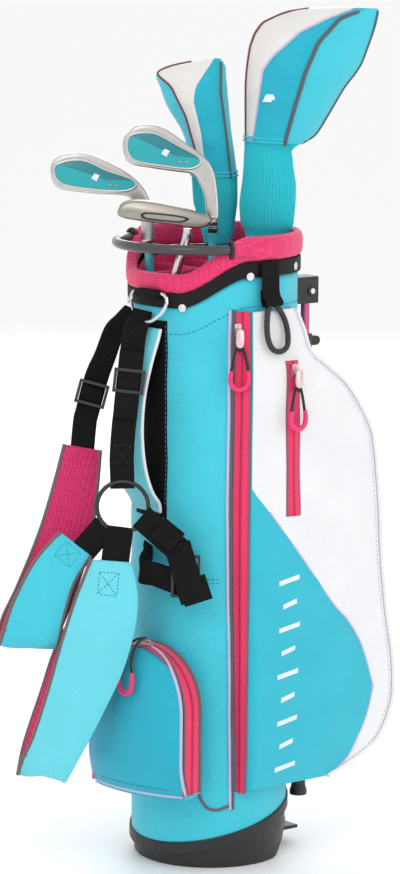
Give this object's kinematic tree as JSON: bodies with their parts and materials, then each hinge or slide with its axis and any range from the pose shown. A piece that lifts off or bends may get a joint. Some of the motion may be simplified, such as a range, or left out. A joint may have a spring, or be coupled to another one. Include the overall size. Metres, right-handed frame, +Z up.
{
  "type": "golf club set",
  "caption": "Junior golf set: a round stand bag with folding legs, a dual shoulder strap and zipped pockets, holding irons, a putter and covered woods.",
  "frame": {"origin": "middle of the flat underside of the base, on the bag's axis", "axes": "+Z up the bag, +X towards the folding legs, -X towards the shoulder strap, -Y towards the tall pocket"},
  "size_m": [0.4123, 0.2241, 0.8974],
  "materials": {
    "teal_fabric": "polyester weave",
    "white_fabric": "polyester weave",
    "pink_mesh": "spacer mesh",
    "black_webbing": "webbing",
    "teal_knit": "knit sock and padded cover",
    "black_plastic": "moulded",
    "cord": "cord with a metal tab",
    "bright_metal": "polished",
    "rose_tube": "anodised",
    "iron_head": "satin",
    "putter_head": "satin",
    "teal_shaft": "gloss",
    "graphite": "fibre composite",
    "rubber": "moulded"
  },
  "bodies": {
    "bag": {"body_tube": "teal_fabric", "ball_pocket": "teal_fabric", "carry_handle": "teal_fabric", "shoulder_pad_rear": "teal_fabric", "shoulder_pad_front": "teal_fabric", "tall_pocket": "white_fabric", "collar_pad": "pink_mesh", "top_divider": "pink_mesh", "collar_band": "black_webbing", "strap_front": "black_webbing", "strap_rear": "black_webbing", "strap_lower": "black_webbing", "towel_loop": "black_webbing", "divider_panel": "black_webbing", "base_foot": "black_plastic", "base_rim": "black_plastic", "hoop_handle": "black_plastic", "leg_bracket_near": "black_plastic", "leg_bracket_far": "black_plastic", "o_ring": "black_plastic", "strap_buckle": "black_plastic", "lever_pin": "bright_metal", "leg_pin_near": "bright_metal", "leg_pin_far": "bright_metal", "d_ring": "bright_metal", "spine_stay": "graphite"},
    "stand_lever": {"stand_lever": "black_plastic"},
    "push_frame": {"push_frame": "black_plastic"},
    "leg_near": {"leg_tube_near": "rose_tube", "leg_clamp_near": "black_plastic", "leg_foot_near": "rubber"},
    "leg_far": {"leg_tube_far": "rose_tube", "leg_clamp_far": "black_plastic", "leg_foot_far": "rubber"},
    "main_zip_slider": {"main_zip_slider": "bright_metal"},
    "main_zip_pull": {"main_zip_pull": "cord"},
    "valuables_zip_slider": {"valuables_zip_slider": "bright_metal"},
    "valuables_zip_pull": {"valuables_zip_pull": "cord"},
    "ball_zip_slider": {"ball_zip_slider": "bright_metal"},
    "ball_zip_pull": {"ball_zip_pull": "cord"},
    "strap_glide_front": {"strap_glide_front": "black_plastic"},
    "strap_glide_rear": {"strap_glide_rear": "black_plastic"},
    "towel_ring": {"towel_ring": "black_plastic"},
    "iron_long": {"iron_long_grip": "rubber", "iron_long_shaft": "teal_shaft", "iron_long_head": "iron_head"},
    "iron_short": {"iron_short_grip": "rubber", "iron_short_shaft": "teal_shaft", "iron_short_head": "iron_head"},
    "putter": {"putter_grip": "rubber", "putter_shaft": "bright_metal", "putter_head": "putter_head"},
    "driver": {"driver_grip": "rubber", "driver_shaft": "graphite", "driver_head": "graphite"},
    "driver_headcover": {"driver_headcover": "teal_knit"},
    "hybrid": {"hybrid_grip": "rubber", "hybrid_shaft": "graphite", "hybrid_head": "graphite"},
    "hybrid_headcover": {"hybrid_headcover": "teal_knit"}
  },
  "joints": [
    {"name": "leg_near_swing", "type": "hinge", "parent": "bag", "child": "leg_near", "pos_m": [0.086, -0.047, 0.601], "axis": [-0.0698, -0.9976, 0], "range_deg": [0, 26]},
    {"name": "leg_far_swing", "type": "hinge", "parent": "bag", "child": "leg_far", "pos_m": [0.086, 0.047, 0.601], "axis": [0.0698, -0.9976, 0], "range_deg": [0, 26]},
    {"name": "stand_lever_tilt", "type": "hinge", "parent": "bag", "child": "stand_lever", "pos_m": [0.046, 0, 0.0065], "axis": [0, -1, 0], "range_deg": [0, 9.1]},
    {"name": "push_frame_tilt", "type": "hinge", "parent": "stand_lever", "child": "push_frame", "pos_m": [0.097, 0, 0.019], "axis": [0, 1, 0], "range_deg": [0, 12.2]},
    {"name": "iron_long_draw", "type": "slide", "parent": "bag", "child": "iron_long", "axis": [-0.0404, 0.0323, 0.9987], "range_m": [0, 0.68]},
    {"name": "iron_short_draw", "type": "slide", "parent": "bag", "child": "iron_short", "axis": [0.0145, -0.0016, 0.9999], "range_m": [0, 0.68]},
    {"name": "putter_draw", "type": "slide", "parent": "bag", "child": "putter", "axis": [-0.021, 0.0089, 0.9997], "range_m": [0, 0.68]},
    {"name": "driver_draw", "type": "slide", "parent": "bag", "child": "driver", "axis": [0.0304, -0.0085, 0.9995], "range_m": [0, 0.68]},
    {"name": "driver_cover_draw", "type": "slide", "parent": "driver", "child": "driver_headcover", "axis": [0.0304, -0.0085, 0.9995], "range_m": [0, 0.26], "deforming": ["driver_headcover"]},
    {"name": "hybrid_draw", "type": "slide", "parent": "bag", "child": "hybrid", "axis": [0.0011, -0.0057, 1], "range_m": [0, 0.68]},
    {"name": "hybrid_cover_draw", "type": "slide", "parent": "hybrid", "child": "hybrid_headcover", "axis": [0.0011, -0.0057, 1], "range_m": [0, 0.2], "deforming": ["hybrid_headcover"]},
    {"name": "main_zip_run", "type": "slide", "parent": "bag", "child": "main_zip_slider", "axis": [0.004, 0.0089, -1], "range_m": [0, 0.48]},
    {"name": "main_pull_swing", "type": "hinge", "parent": "main_zip_slider", "child": "main_zip_pull", "pos_m": [-0.03938, -0.08845, 0.572], "axis": [-0.9135, 0.4067, 0], "range_deg": [0, 70]},
    {"name": "valuables_zip_run", "type": "slide", "parent": "bag", "child": "valuables_zip_slider", "axis": [0, 0, -1], "range_m": [0, 0.145]},
    {"name": "valuables_pull_swing", "type": "hinge", "parent": "valuables_zip_slider", "child": "valuables_zip_pull", "pos_m": [0.022, -0.1096, 0.528], "axis": [-1, 0, 0], "range_deg": [0, 70]},
    {"name": "ball_zip_run", "type": "hinge", "parent": "bag", "child": "ball_zip_slider", "pos_m": [-0.10636, -0.01875, 0.176], "axis": [0.9848, 0.1736, 0], "range_deg": [0, 83]},
    {"name": "ball_pull_swing", "type": "hinge", "parent": "ball_zip_slider", "child": "ball_zip_pull", "pos_m": [-0.10583, -0.02177, 0.248], "axis": [-0.1736, 0.9848, 0], "range_deg": [0, 5]},
    {"name": "towel_ring_swing", "type": "hinge", "parent": "bag", "child": "towel_ring", "pos_m": [0, -0.097, 0.6], "axis": [-1, 0, 0], "range_deg": [0, 75]},
    {"name": "strap_glide_front_run", "type": "slide", "parent": "bag", "child": "strap_glide_front", "axis": [-0.2015, -0.0849, -0.9758], "range_m": [-0.01, 0.014]},
    {"name": "strap_glide_rear_run", "type": "slide", "parent": "bag", "child": "strap_glide_rear", "axis": [-0.3425, -0.0221, -0.9392], "range_m": [-0.004, 0.004]}
  ],
  "couplings": [
    {"joint": "leg_far_swing", "follows": "leg_near_swing", "ratio": 1},
    {"joint": "stand_lever_tilt", "follows": "leg_near_swing", "ratio": 0.34615},
    {"joint": "push_frame_tilt", "follows": "leg_near_swing", "ratio": 0.46538}
  ]
}
